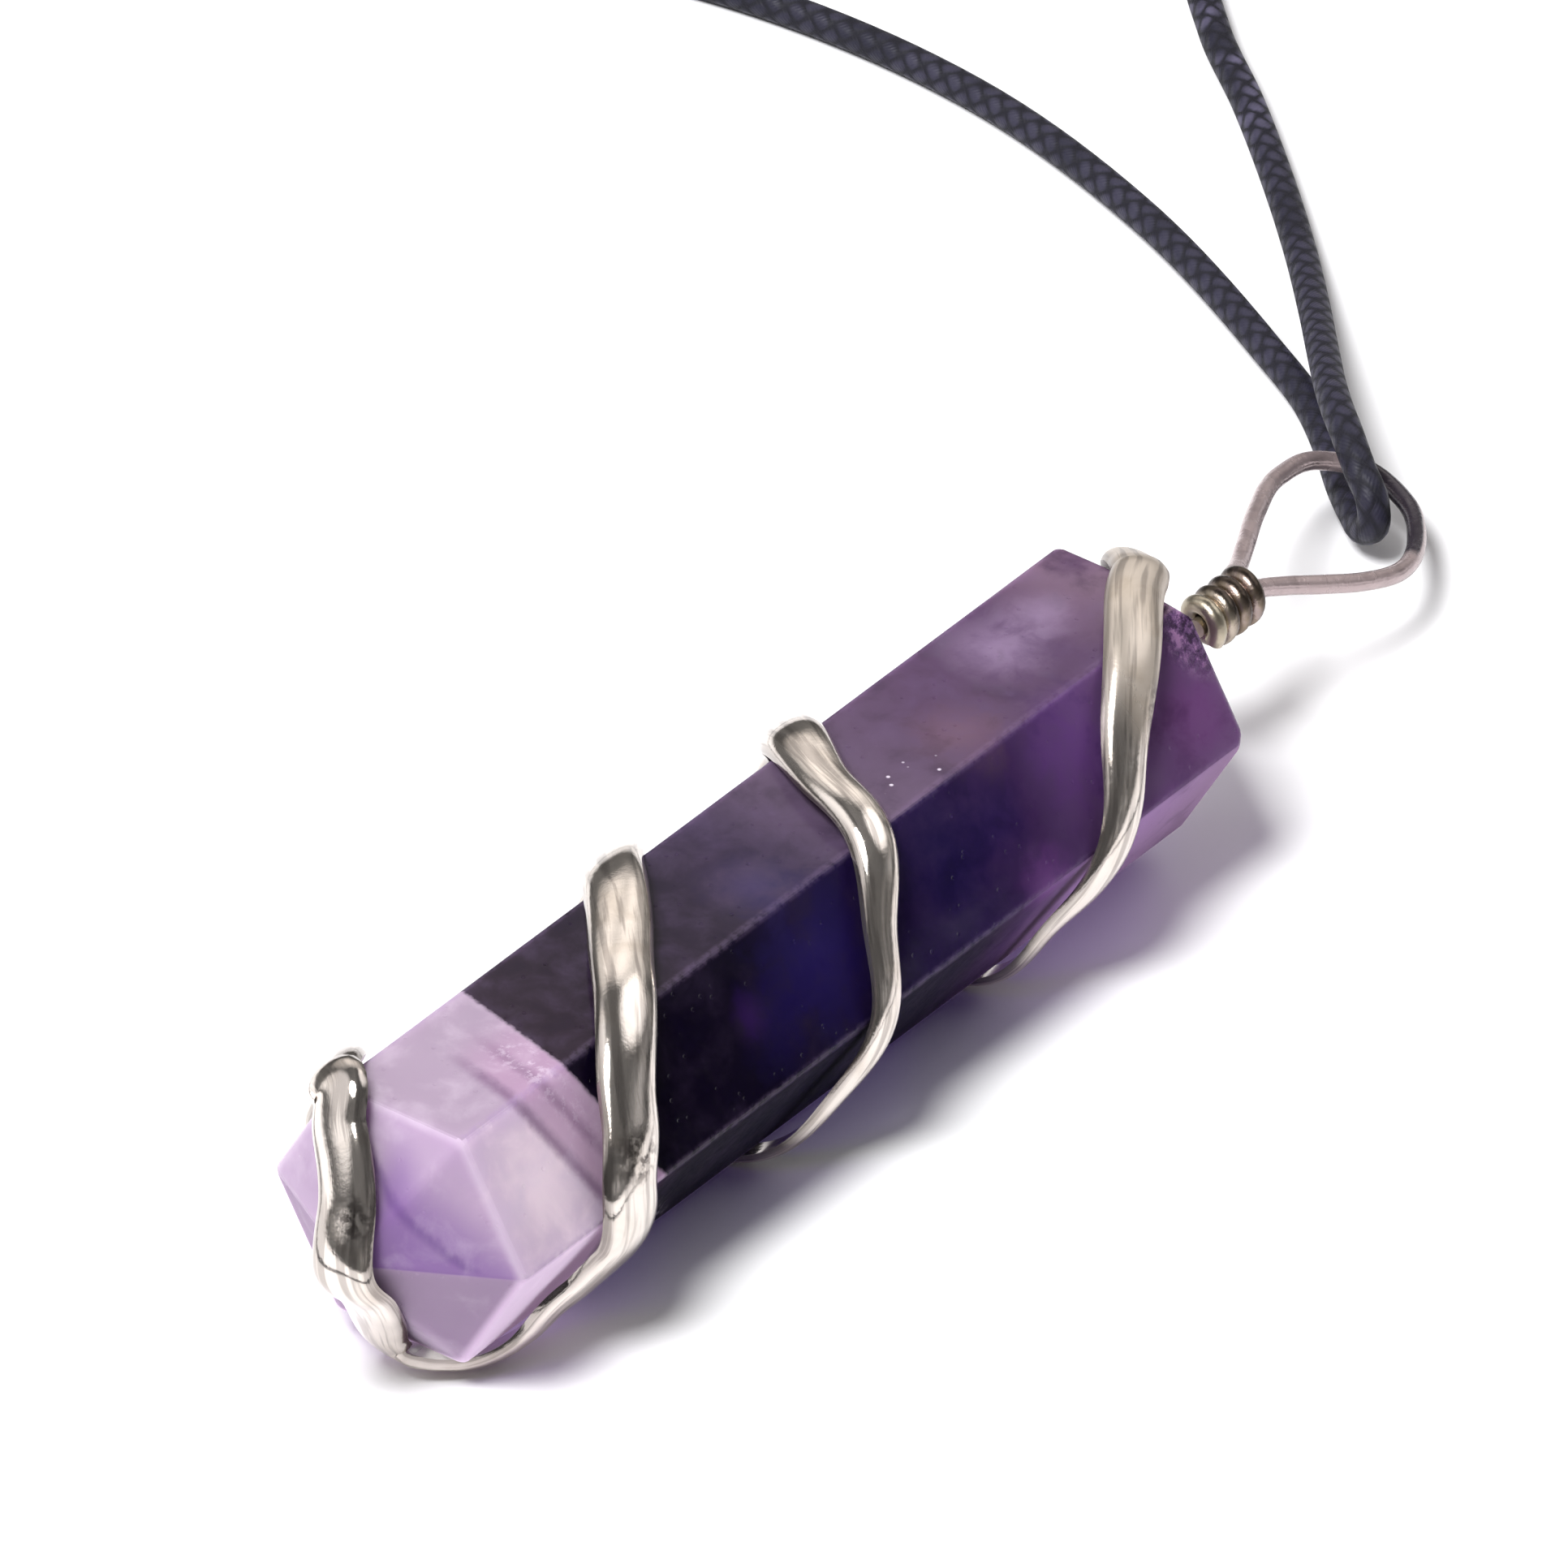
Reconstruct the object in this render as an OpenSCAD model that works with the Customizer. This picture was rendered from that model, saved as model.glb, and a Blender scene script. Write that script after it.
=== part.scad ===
// Crystal point pendant: a double-ended six-sided point of stone lies in a spiral of half-round
// wire, a loop of round wire is wrapped on at its head, and a thin waxed cord is threaded through it.
// Millimetres, +Z up. The pendant rests on z = 0, and the origin is under the middle of its box.

/* [Crystal] */
// Radius of the stone over its corners
stone_r = 5.6; // [4.6:0.1:7]
// Length of the six-sided shaft, from shoulder to shoulder
shaft_len = 41.5; // [34:0.5:50]
// Height of the low point at the tip end
tip_h = 3.1; // [2.2:0.1:5]
// Height of the point at the head end, under the loop
head_h = 4.3; // [3.5:0.1:7]

/* [Spiral cage] */
// Width of the half-round band
band_w = 1.95; // [1.2:0.05:2.6]
// Thickness of the band at its crown
band_t = 0.7; // [0.5:0.05:1.1]
// Clearance between the band and the stone
cage_gap = 0.08; // [0.06:0.01:0.3]
// How far the band cuts the corner of its circle on each flat, as a share of the stone's radius
flat_sag = 0.06; // [0.03:0.005:0.062]

/* [Loop] */
// Thickness of the round wire of the loop
loop_wire = 0.7; // [0.5:0.05:0.9]
// Length of the loop beyond its wrapped neck
loop_len = 14.8; // [12:0.1:17]
// Width of the loop
loop_w = 5.9; // [5:0.1:7]
// Turns of wire wrapped round the loop's stem
wrap_turns = 3.5; // [1.5:1:5.5]
// Clearance between the turns of the wrap, and between the wrap and its stem
wrap_gap = 0.05; // [0.04:0.01:0.12]
// Clearance between the stem and the stone's head point
stem_gap = 0.15; // [0.1:0.05:0.4]

/* [Cord] */
// Thickness of the waxed cord
cord_d = 1.2; // [1:0.1:1.5]
// Thickness of the knot that joins the cord's ends
knot_d = 2.6; // [2.2:0.1:3.2]
// Clearance between the knot and each end of the cord
knot_gap = 0.1; // [0.05:0.05:0.3]

/* [Hidden] */

half_len = shaft_len / 2;
axis_h = stone_r * (1 - flat_sag) + cage_gap + band_t;
// The middle of the stone, and the turn of its long axis from +X
stone_mid = [-3.2, -8, axis_h];
stone_turn = 52.4;

// Rings of the band for each row of its table, and points of its section
band_steps = 4;
band_facets = 8;
// Rings of the loop's wire for each row of its table, and sides of the wire
loop_steps = 3;
wire_sides = 10;
wrap_facets = 14;
cord_sides = 8;

// The band's way round the stone, from its head end to its tip end.
// Columns: whole turns behind it; angle round the stone, 0 at its right side and 90 on top;
// reach from the axis as a share of stone_r; place along the stone, where 1 and -1 are the
// shoulders and 2 and -2 are the points; lean of its flat side towards the tip end; share of
// its full width; and where there is one, the turn of its flat side past the row's angle. A
// reach below 0 is on the far side of the axis, past the tip.
BAND = [
    [0, 235,  0.30,  1.860, -48, 0.70],
    [0, 205,  0.32,  1.830, -48, 0.80],
    [0, 175,  0.36,  1.790, -48, 0.90],
    [0, 148,  0.43,  1.720, -48, 1.00],
    [0, 122,  0.54,  1.585, -48, 1.00],
    [0, 105,  0.70,  1.385, -43, 1.00],
    [0,  90,  0.87,  1.155, -28, 1.00],
    [0,  76,  0.98,  0.960,  -8, 1.10],
    [0,  62,  1.00,  0.865,   0, 1.13],
    [0,  40,  1.00,  0.750,   0, 1.10],
    [0,  12,  1.00,  0.655,   0, 0.98],
    [0, -15,  0.99,  0.568,   0, 0.74],
    [0, -38,  0.97,  0.516,   0, 0.56],
    [0, -60,  1.01,  0.478,   0, 0.50],
    [0, -80,  1.03,  0.454,   0, 0.54],
    [0, -100, 1.035, 0.438,   0, 0.62],
    [0, -135, 1.00,  0.420,   0, 0.80],
    [0, -175, 1.00,  0.395,   0, 1.00],
    [1, 150,  1.00,  0.365,   0, 1.00],
    [1, 120,  1.00,  0.263,   0, 1.20],
    [1,  92,  1.00,  0.178,   0, 1.02],
    [1,  62,  1.00,  0.120,   0, 1.00],
    [1,  30,  1.00,  0.031,   0, 0.76],
    [1,   0,  1.00, -0.026,   0, 0.68],
    [1, -25,  1.02, -0.082,   0, 0.62],
    [1, -45,  1.03, -0.126,   0, 0.54],
    [1, -62,  1.04, -0.166,   0, 0.50],
    [1, -78,  1.04, -0.195,   0, 0.53],
    [1, -100, 1.034, -0.200,  0, 0.63],
    [1, -140, 1.00, -0.160,   0, 0.85],
    [1, -180, 1.00, -0.110,   0, 1.00],
    [2, 158,  1.00, -0.095,   0, 1.00],
    [2, 140,  1.00, -0.135,   0, 1.08],
    [2, 118,  1.00, -0.245,   0, 1.20],
    [2,  95,  1.01, -0.366,   0, 1.22],
    [2,  73,  1.01, -0.488,   0, 1.20],
    [2,  41,  1.01, -0.640,   0, 1.27],
    [2,  26,  1.03, -0.680,   0, 1.36],
    [2,  10,  1.01, -0.722,   0, 1.42],
    [2, -18,  1.00, -0.736,   0, 1.49],
    [2, -36,  0.97, -0.776,   0, 1.42, 5],
    [2, -46,  0.95, -0.822,   0, 1.27, 12],
    [2, -55,  0.98, -0.858,   0, 1.00, 14],
    [2, -61,  1.01, -0.895,   0, 0.84, 9],
    [2, -67,  1.01, -0.940,   4, 0.76, 4],
    [2, -75,  0.97, -0.980,  12, 0.80, 0],
    [2, -84,  0.935, -1.012,  27, 0.92, 0],
    [2, -91,  0.77, -1.225,  47, 1.10, 0],
    [2, -88,  0.52, -1.460,  58, 1.26, 0],
    [2, -80,  0.28, -1.720,  72, 1.34, 0],
    [2, -76,  0.04, -2.000,  90, 1.34],
    [2, -75, -0.36, -1.700, 112, 1.28],
    [2, -66, -0.75, -1.330, 124, 1.25],
    [2, -60, -1.00, -1.000, 150, 1.15],
    [2, -46, -1.00, -0.915, 176, 1.05],
    [2, -20, -1.00, -0.860, 180, 1.00],
    [2,   8, -1.00, -0.840, 180, 1.00],
    [2,  30, -1.00, -0.815, 180, 0.92],
];

// The loop's outline in its own plane, from the stem round to the wrap.
// Columns: share of loop_len from the neck; share of loop_w to the left of the loop's line.
LOOP = [
    [0.06, -0.05],
    [0.15, -0.17],
    [0.26, -0.35],
    [0.38, -0.53],
    [0.53, -0.67],
    [0.76, -0.63],
    [0.93, -0.43],
    [1.00, -0.13],
    [0.92,  0.14],
    [0.72,  0.28],
    [0.46,  0.25],
    [0.24,  0.17],
    [0.12,  0.13],
];
// Turn of the loop's line from the stone's axis, its fall, and the roll of its plane about it
loop_turn = 22;
loop_fall = 14.9;
loop_roll = 19;

// The cord's route in this frame, from one side of its knot round to the other.
// Columns: X, Y and Z of its middle line.
CORD = [
    [-6.9, -41.2, 1.2],
    [-13.7, -41.4, 0.78],
    [-25.5, -41.6, 0.62],
    [-32, -39.4, 0.62],
    [-35.4, -33.5, 0.62],
    [-36.2, -20, 0.62],
    [-36.2, 5.3, 0.62],
    [-36, 35.3, 0.62],
    [-35.7, 53.3, 0.62],
    [-31.7, 62.8, 0.62],
    [-22.7, 65.3, 0.62],
    [-11.7, 63.3, 0.62],
    [-2.7, 59.2, 0.62],
    [4.6, 53.4, 0.62],
    [10.4, 45.9, 0.62],
    [14.8, 37.5, 0.62],
    [16.4, 33.8, 0.62],
    [17.1, 31, 0.62],
    [17.5, 28.7, 0.65],
    [17.9, 26.8, 0.85],
    [18.3, 25.2, 1.2],
    [18.6, 24.6, 1.85],
    [18.55, 24.85, 2.65],
    [18.1, 25.9, 3.3],
    [17.7, 27.4, 3.65],
    [17.35, 29.2, 3.55],
    [17.1, 31.3, 3.15],
    [16.9, 33.9, 2.6],
    [16.55, 38.9, 1.5],
    [16.1, 43.3, 0.85],
    [15.5, 47.2, 0.62],
    [14.3, 53, 0.62],
    [13.1, 57.7, 0.62],
    [12.7, 63.3, 0.62],
    [16.8, 68.6, 0.62],
    [23.8, 69.1, 0.62],
    [28.8, 64.3, 0.62],
    [30.6, 54.3, 0.62],
    [30.8, 25.3, 0.62],
    [30.8, -8, 0.62],
    [30.7, -28, 0.62],
    [29.5, -36.6, 0.62],
    [25, -40.9, 0.62],
    [16.5, -41.7, 0.62],
    [6, -41.3, 0.82],
    [-2.5, -41.2, 1.2],
];

function unit(v) = v / norm(v);
function mix(a, b, t) = a * (1 - t) + b * t;

// Slope of a curve at one of its points, from the chords before and after it
function slope(p, i) =
    i == 0 ? (p[1] - p[0]) / norm(p[1] - p[0])
    : i == len(p) - 1 ? (p[i] - p[i - 1]) / norm(p[i] - p[i - 1])
    : let (a = norm(p[i] - p[i - 1]), b = norm(p[i + 1] - p[i]))
      ((p[i] - p[i - 1]) * b / a + (p[i + 1] - p[i]) * a / b) / (a + b);

// A smooth curve through p, with steps pieces from each point to the next
function smooth(p, steps) = [
    for (i = [0 : len(p) - 2]) let (c = norm(p[i + 1] - p[i]))
        for (k = [0 : steps - 1]) let (t = k / steps)
            p[i] * (2 * pow(t, 3) - 3 * pow(t, 2) + 1)
            + slope(p, i) * c * (pow(t, 3) - 2 * pow(t, 2) + t)
            + p[i + 1] * (3 * pow(t, 2) - 2 * pow(t, 3))
            + slope(p, i + 1) * c * (pow(t, 3) - pow(t, 2)),
    p[len(p) - 1]
];

// Direction of a path at each of its points
function heading(path) = [
    for (i = [0 : len(path) - 1])
        unit(path[min(i + 1, len(path) - 1)] - path[max(i - 1, 0)])
];

// A side direction carried along the path without twist
function carried(dirs, first) = [
    for (i = 0, s = unit(first - dirs[0] * (first * dirs[0]));
         i < len(dirs);
         i = i + 1,
         s = i < len(dirs) ? unit(s - dirs[i] * (s * dirs[i])) : s) s
];

// A closed solid through rings that each hold the same number of points
module skin(rings) {
    n = len(rings[0]);
    last = len(rings) - 1;
    polyhedron(
        points = [for (r = rings) each r],
        faces = [
            [for (k = [n - 1 : -1 : 0]) k],
            [for (k = [0 : n - 1]) last * n + k],
            for (i = [0 : last - 1], k = [0 : n - 1]) each [
                [i * n + k, i * n + (k + 1) % n, (i + 1) * n + k],
                [i * n + (k + 1) % n, (i + 1) * n + (k + 1) % n, (i + 1) * n + k]
            ]
        ],
        convexity = 10
    );
}

// A round tube of diameter d along a path
module tube(path, d, sides, first = [0, 0, 1]) {
    dirs = heading(path);
    sideways = carried(dirs, first);
    skin([
        for (i = [0 : len(path) - 1]) let (s = sideways[i], u = cross(dirs[i], s))
            [for (k = [0 : sides - 1]) let (a = -360 * k / sides)
                path[i] + d / 2 * (s * cos(a) + u * sin(a))]
    ]);
}

// The stone's own frame: X along its axis towards the head, Y to its left, Z up
module in_place() {
    translate(stone_mid) rotate([0, 0, stone_turn]) children();
}

module crystal_point() {
    // a twelfth of a turn lays the shaft on one of its flats
    color([0.36, 0.22, 0.55]) in_place() rotate([0, 90, 0]) rotate([0, 0, 30]) {
        translate([0, 0, -half_len]) cylinder(r = stone_r, h = shaft_len, $fn = 6);
        translate([0, 0, half_len])
            cylinder(r1 = stone_r, r2 = 0, h = head_h, $fn = 6);
        translate([0, 0, -half_len]) mirror([0, 0, 1])
            cylinder(r1 = stone_r, r2 = 0, h = tip_h, $fn = 6);
    }
}

// How far in the band lies between two corners of the stone
function between_corners(angle) = 1 - flat_sag * (1 - cos(6 * angle)) / 2;

// Place along the stone: the shoulders are at 1 and -1, the points at 2 and -2
function along(a) =
    a > 1 ? half_len + (a - 1) * head_h
    : a < -1 ? -half_len + (a + 1) * tip_h
    : a * half_len;

// A row of the band as its foot on the stone and its outward direction
function band_foot(row) = let (
    angle = row[0], radius = row[1] * stone_r * between_corners(row[0]))
    [along(row[2]), -radius * cos(angle), radius * sin(angle)];
function band_out(row) = let (facing = row[0] + row[5])
    [-sin(row[3]), -cos(row[3]) * cos(facing), cos(row[3]) * sin(facing)];

// The table's rows made one smooth run: angle, reach, place, lean, width and turn, each at a like
// scale
function band_rows() = let (
    scales = [1 / 10, 5, 20, 1 / 20, 2, 1 / 20],
    run = smooth([for (r = BAND)
        let (q = [r[1] - 360 * r[0], r[2], r[3], r[4], r[5], is_undef(r[6]) ? 0 : r[6]])
        [for (c = [0 : 5]) q[c] * scales[c]]], band_steps))
    [for (r = run) [for (c = [0 : 5]) r[c] / scales[c]]];

// Half-round section: a flat foot and a crown, as shares of its width and thickness
function band_section() = [
    for (k = [0 : band_facets]) let (a = 180 * k / band_facets)
        [cos(a) / 2, pow(sin(a), 0.9)]
];

// Share of its thickness for a share of its width: where it is narrow it is thin too
function thinned(width) = min(1, 0.3 + 0.7 * width);

// The band narrows to a rounded end over its first and last rings
function end_share(i, count) = let (
    from_end = min(i, count - 1 - i))
    from_end >= 3 ? 1 : sqrt(1 - pow(1 - (from_end + 0.5) / 3.5, 2));

module spiral_cage() {
    rows = band_rows();
    outs = [for (r = rows) band_out(r)];
    feet = [for (i = [0 : len(rows) - 1]) band_foot(rows[i]) + cage_gap * outs[i]];
    dirs = heading(feet);
    color([0.78, 0.76, 0.73]) in_place() skin([
        for (i = [0 : len(rows) - 1]) let (
            across = unit(cross(dirs[i], outs[i])),
            out = cross(across, dirs[i]),
            share = end_share(i, len(rows)))
            [for (q = band_section())
                feet[i] + across * q[0] * band_w * rows[i][4] * share
                + out * q[1] * band_t * thinned(rows[i][4]) * share]
    ]);
}

// The wrap lies round the stem, just above the stone's head point
wrap_r = loop_wire + wrap_gap;
wrap_pitch = loop_wire + wrap_gap;
wrap_from = half_len + head_h + loop_wire / 2;
neck = wrap_from + wrap_turns * wrap_pitch;
// Angle at which the wrap begins, under the loop's upper leg, 0 at the stone's right side
wrap_start = 150;

// A point of the loop's plane in the stone's frame
function on_loop(p) = let (
    x = p[0] * loop_len, y = p[1] * loop_w,
    // rolled about the loop's line, then made to fall, then turned from the axis
    rolled = [x, y * cos(loop_roll), y * sin(loop_roll)],
    fallen = [rolled[0] * cos(loop_fall) + rolled[2] * sin(loop_fall), rolled[1],
              -rolled[0] * sin(loop_fall) + rolled[2] * cos(loop_fall)])
    [neck + fallen[0] * cos(loop_turn) - fallen[1] * sin(loop_turn),
     fallen[0] * sin(loop_turn) + fallen[1] * cos(loop_turn), fallen[2]];

function on_wrap(turns) = let (angle = wrap_start - 360 * turns)
    [neck - turns * wrap_pitch, -wrap_r * cos(angle), wrap_r * sin(angle)];

module bail_loop() {
    stem = [[half_len + head_h + stem_gap, 0, 0], [mix(wrap_from, neck, 0.5), 0, 0], [neck, 0, 0]];
    wrap = [for (t = [0 : 1 / wrap_facets : wrap_turns]) on_wrap(t)];
    color([0.72, 0.70, 0.69]) in_place()
        tube(concat(smooth(concat(stem, [for (p = LOOP) on_loop(p)], [wrap[0]]), loop_steps),
                    [for (i = [1 : len(wrap) - 1]) wrap[i]]),
             loop_wire, wire_sides, [0, 0, 1]);
}

module cord() {
    color([0.10, 0.09, 0.14]) tube(smooth(CORD, 2), cord_d, cord_sides);
}

module cord_knot() {
    first = CORD[0];
    final = CORD[len(CORD) - 1];
    mid = (first + final) / 2;
    length = norm(final - first) - 2 * knot_gap;
    // a rounded barrel with a flat face towards each end of the cord
    color([0.12, 0.11, 0.16]) translate([mid[0], mid[1], knot_d / 2]) rotate([0, 90, 0])
        rotate_extrude($fn = 24) polygon(concat(
            [[0, -length / 2]],
            [for (a = [-60 : 15 : 60]) [knot_d / 2 * cos(a), length / 2 * sin(a) / sin(60)]],
            [[0, length / 2]]));
}

crystal_point();
spiral_cage();
bail_loop();
cord();
cord_knot();
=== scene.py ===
import math
import bpy
from mathutils import Matrix, Vector


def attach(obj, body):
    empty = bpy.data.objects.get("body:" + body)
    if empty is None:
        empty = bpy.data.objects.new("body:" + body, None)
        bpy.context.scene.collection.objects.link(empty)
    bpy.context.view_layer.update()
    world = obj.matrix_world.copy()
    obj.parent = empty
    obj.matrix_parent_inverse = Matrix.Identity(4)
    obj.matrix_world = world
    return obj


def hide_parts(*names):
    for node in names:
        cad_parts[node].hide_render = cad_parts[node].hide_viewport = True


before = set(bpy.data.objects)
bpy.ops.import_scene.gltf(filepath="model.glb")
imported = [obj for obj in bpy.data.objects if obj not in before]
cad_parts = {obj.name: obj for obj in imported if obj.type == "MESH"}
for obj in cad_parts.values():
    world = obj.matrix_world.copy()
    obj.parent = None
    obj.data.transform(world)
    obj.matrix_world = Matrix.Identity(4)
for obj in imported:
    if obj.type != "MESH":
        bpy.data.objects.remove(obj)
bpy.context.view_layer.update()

mm = 0.001
weldWithin = 0.000002             # m, points nearer than this are one

# where the stone lies: its middle and the turn of its long axis from +X
stonePlace = {"middle": (-3.2, -8.0, 6.044), "turn": 52.4}

studio = {
    "elevation": 35.0,            # camera above the surface
    "aim": (-2.44, 11.02, 0.0),   # point at the picture's middle
    "distance": 2100.0,           # far off, with a long lens, yet within what a view's clipping allows
    "pictureWidth": 55.68,        # what the picture's width takes in at the aim
    "sensor": 36.0,
    "clip": (0.01, 20.0),         # m
    "keyFrom": (-0.30, -0.42, 1.0),
    "keyDistance": 420.0,
    "keySize": 170.0,
    "keyPower": 2.2,
    "room": 0.02,                 # the dark room's own light, and its ceiling's
    "ceiling": 0.05,
    # windows: direction, degrees from it to where the glass ends and the dark begins, light
    "windows": [
        ((0.62, 0.33, 0.71), 11, 25, 1.7),
        ((-0.78, -0.05, 0.60), 20, 34, 1.2),
        ((0.0, 0.77, 0.64), 8, 24, 0.75),
        ((0.36, 0.72, 0.60), 8, 24, 0.7),
        ((-0.36, 0.72, 0.60), 8, 24, 0.7),
    ],
    "horizon": 0.4,               # a grey strip low on the right
}


def tint(red, green, blue):
    # a screen colour, 0 to 255, as the shader's linear colour
    return tuple((c / 255 / 12.92) if c < 10.3 else ((c / 255 + 0.055) / 1.055) ** 2.4
                 for c in (red, green, blue)) + (1.0,)


def inPlace(along, left, up):
    # a point of the stone's own frame, in mm, as a place in the scene
    turn = math.radians(stonePlace["turn"])
    x, y, z = stonePlace["middle"]
    return Vector((x + along * math.cos(turn) - left * math.sin(turn),
                   y + along * math.sin(turn) + left * math.cos(turn), z + up)) * mm


def smoothRun(rows, steps):
    # smooth curve through rows of numbers, with steps pieces from each row to the next
    rows = [Vector(r) for r in rows]

    def slope(i):
        if i == 0 or i == len(rows) - 1:
            a, b = (0, 1) if i == 0 else (i - 1, i)
            return (rows[b] - rows[a]) / (rows[b] - rows[a]).length
        before, after = rows[i] - rows[i - 1], rows[i + 1] - rows[i]
        a, b = before.length, after.length
        return (before * (b / a) + after * (a / b)) / (a + b)

    run = []
    for i in range(len(rows) - 1):
        chord = (rows[i + 1] - rows[i]).length
        for k in range(steps):
            t = k / steps
            run.append(rows[i] * (2 * t**3 - 3 * t**2 + 1) + slope(i) * chord * (t**3 - 2 * t**2 + t)
                       + rows[i + 1] * (3 * t**2 - 2 * t**3) + slope(i + 1) * chord * (t**3 - t**2))
    run.append(rows[-1])
    return run


def headings(path):
    # the way ahead at each point, from its two neighbours
    last = len(path) - 1
    return [(path[min(i + 1, last)] - path[max(i - 1, 0)]).normalized() for i in range(last + 1)]


def alone(piece):
    # only this piece selected and active
    bpy.ops.object.select_all(action="DESELECT")
    piece.select_set(True)
    bpy.context.view_layer.objects.active = piece


def sweptSkin(name, rings, lengths, around):
    # a grid rolled up into a closed skin through the rings, with u round it and v along it, in mm
    n, last = len(rings[0]), len(rings) - 1
    bpy.ops.object.select_all(action="DESELECT")
    bpy.ops.mesh.primitive_grid_add(x_subdivisions=n, y_subdivisions=last, size=1)
    piece = bpy.context.object
    piece.name = piece.data.name = name
    where = {}
    for v in piece.data.vertices:
        i, j = round((v.co.x + 0.5) * n), round((v.co.y + 0.5) * last)
        where[v.index] = (i, j)
        v.co = rings[j][i % n] * mm
    sheetUv = piece.data.uv_layers[0].data
    for loop in piece.data.loops:
        i, j = where[loop.vertex_index]
        sheetUv[loop.index].uv = (around * i / n, lengths[j])
    bpy.ops.object.mode_set(mode="EDIT")
    bpy.ops.mesh.select_all(action="SELECT")
    bpy.ops.mesh.remove_doubles(threshold=weldWithin)
    bpy.ops.mesh.select_all(action="DESELECT")
    bpy.ops.mesh.select_mode(type="EDGE")
    bpy.ops.mesh.select_non_manifold()
    bpy.ops.mesh.edge_face_add()              # closes both ends
    bpy.ops.mesh.select_all(action="SELECT")
    bpy.ops.mesh.normals_make_consistent(inside=False)
    bpy.ops.object.mode_set(mode="OBJECT")
    return piece


def runLengths(path):
    # how far along the path each point lies
    lengths = [0.0]
    for a, b in zip(path, path[1:]):
        lengths.append(lengths[-1] + (b - a).length)
    return lengths


def sweptTube(name, path, thick, sides, firstSide=(0, 0, 1)):
    # a round tube along the path, its seam carried without twist
    dirs, side, rings = headings(path), Vector(firstSide), []
    for place, ahead in zip(path, dirs):
        side = (side - ahead * side.dot(ahead)).normalized()
        other = ahead.cross(side)
        rings.append([place + (side * math.cos(a) + other * math.sin(a)) * (thick / 2)
                      for a in (2 * math.pi * k / sides for k in range(sides))])
    return sweptSkin(name, rings, runLengths(path), math.pi * thick)


def smoothFaces(piece, angle):
    alone(piece)
    bpy.ops.object.shade_smooth_by_angle(angle=math.radians(angle))


class Flow:
    # wraps a socket, so that sums on it add Math nodes
    def __init__(self, tree, socket=None):
        self.tree, self.socket = tree, socket

    def node(self, kind, settings=None, inputs=None, out=0):
        made = self.tree.nodes.new(kind)
        for key, value in (settings or {}).items():
            if key == "stops":
                stops = made.color_ramp.elements
                while len(stops) < len(value):
                    stops.new(0.5)
                for stop, (place, colour) in zip(stops, value):
                    stop.position, stop.color = place, colour
            else:
                setattr(made, key, value)
        for key, value in (inputs or {}).items():
            if isinstance(value, Flow):
                self.tree.links.new(value.socket, made.inputs[key])
            else:
                made.inputs[key].default_value = value
        return Flow(self.tree, made.outputs[out])

    def other(self, out):
        return Flow(self.tree, self.socket.node.outputs[out])

    def sum(self, operation, first, second=0.0):
        return self.node("ShaderNodeMath", {"operation": operation}, {0: first, 1: second})

    def __add__(self, b): return self.sum("ADD", self, b)
    def __radd__(self, b): return self.sum("ADD", b, self)
    def __sub__(self, b): return self.sum("SUBTRACT", self, b)
    def __rsub__(self, b): return self.sum("SUBTRACT", b, self)
    def __mul__(self, b): return self.sum("MULTIPLY", self, b)
    def __rmul__(self, b): return self.sum("MULTIPLY", b, self)
    def __truediv__(self, b): return self.sum("DIVIDE", self, b)
    def __abs__(self): return self.sum("ABSOLUTE", self)

    def rise(self, low, high):
        # 0 below low and 1 above high, smooth between
        return self.node("ShaderNodeMapRange", {"interpolation_type": "SMOOTHSTEP"},
                         {0: self, 1: low, 2: high, 3: 0.0, 4: 1.0})

    def hump(self, middle, half):
        # 1 at the middle and 0 at half to either side
        return 1 - abs(self - middle).rise(0.0, half)

    def mix(self, low, high):
        # colour low where this is 0 and high where it is 1
        return self.node("ShaderNodeMix", {"data_type": "RGBA"}, {0: self, 6: low, 7: high}, 2)

    def ramp(self, stops):
        return self.node("ShaderNodeValToRGB", {"stops": stops}, {0: self})

    def noise(self, scale, detail=4.0, rough=0.55, warp=0.0):
        return self.node("ShaderNodeTexNoise", None,
                         {"Vector": self, "Scale": scale, "Detail": detail,
                          "Roughness": rough, "Distortion": warp})

    def bump(self, strength, depth):
        return self.node("ShaderNodeBump", None,
                         {"Height": self, "Strength": strength, "Distance": depth})

    def farFrom(self, place):
        return self.node("ShaderNodeVectorMath", {"operation": "DISTANCE"}, {0: self, 1: place}, "Value")

    def split(self):
        apart = self.node("ShaderNodeSeparateXYZ", None, {0: self})
        return apart, apart.other(1), apart.other(2)


def newMaterial(name):
    material = bpy.data.materials.new(name)
    material.use_nodes = True
    return material, Flow(material.node_tree), material.node_tree.nodes["Principled BSDF"]


def feed(shader, values):
    # plain values set and flows linked, by the names of the shader's sockets
    for key, value in values.items():
        if isinstance(value, Flow):
            value.tree.links.new(value.socket, shader.inputs[key])
        else:
            shader.inputs[key].default_value = value


def stoneFrame(flow):
    # place on the piece in mm: along the stone, to its left, up
    return flow.node("ShaderNodeMapping", {"vector_type": "TEXTURE"},
                     {"Vector": flow.node("ShaderNodeTexCoord", out="Object"),
                      "Location": [c * mm for c in stonePlace["middle"]],
                      "Rotation": (0, 0, math.radians(stonePlace["turn"])), "Scale": (mm, mm, mm)})


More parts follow.
